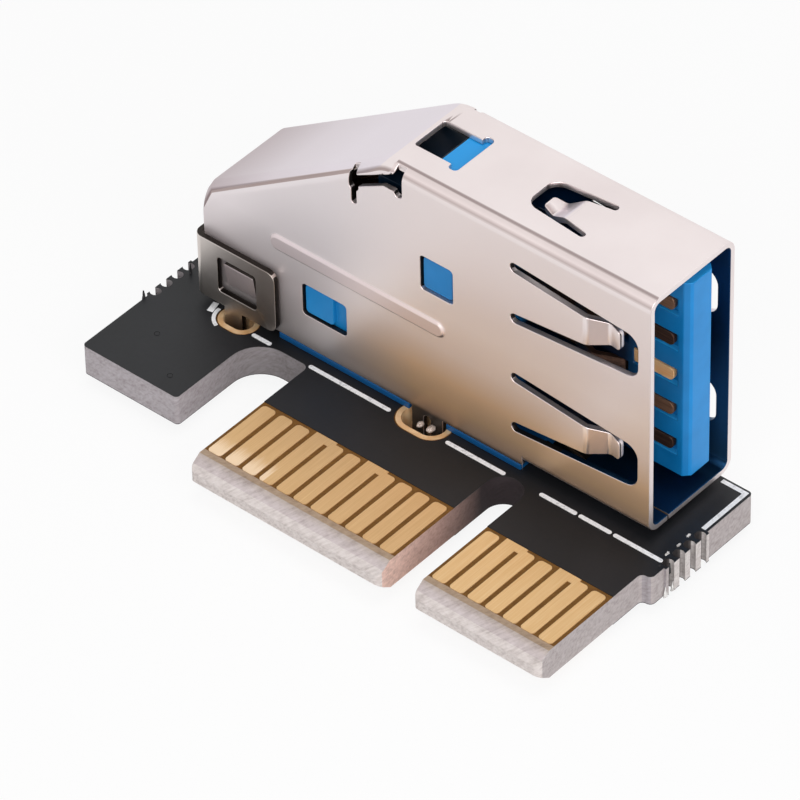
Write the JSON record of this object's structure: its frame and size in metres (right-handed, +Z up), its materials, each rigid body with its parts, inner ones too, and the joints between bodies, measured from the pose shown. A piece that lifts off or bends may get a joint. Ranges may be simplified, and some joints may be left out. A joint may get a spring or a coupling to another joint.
{
  "type": "pcie riser card",
  "caption": "Small black edge card with gold fingers and a key notch, carrying an upright nickel-plated serial bus port with a sloping rear roof and a blue insulator.",
  "frame": {"origin": "middle of the key notch, on the insertion edge, half way through the board", "axes": "+X along the fingers to the port's mouth, +Y away from the insertion edge, +Z up from the port side"},
  "size_m": [0.0298, 0.015, 0.0159],
  "materials": {
    "laminate": "cut glass epoxy, satin",
    "solder_mask": "black lacquer, half gloss",
    "silk_ink": "white print",
    "gold": "gold-plated copper",
    "nickel": "nickel-plated sheet, satin",
    "blue_plastic": "moulded, half gloss",
    "contact_alloy": "plated spring alloy",
    "solder": "bright tin"
  },
  "bodies": {
    "root": {"circuit_board": "laminate", "solder_mask_top": "solder_mask", "solder_mask_bottom": "solder_mask", "silkscreen_lines": "silk_ink", "edge_contacts_top": "gold", "edge_contacts_bottom": "gold", "leg_slot_plating": "gold", "signal_hole_plating": "gold", "port_shell": "nickel", "rear_cover": "nickel", "insulator_housing": "blue_plastic", "tail_spacer": "blue_plastic", "leg_solder": "solder", "signal_solder": "solder", "superspeed_contact_1": "contact_alloy", "superspeed_contact_2": "contact_alloy", "superspeed_contact_3": "contact_alloy", "superspeed_contact_4": "contact_alloy", "superspeed_contact_5": "contact_alloy", "usb2_contact_1": "contact_alloy", "usb2_contact_2": "contact_alloy", "usb2_contact_3": "contact_alloy", "usb2_contact_4": "contact_alloy"}
  },
  "joints": []
}
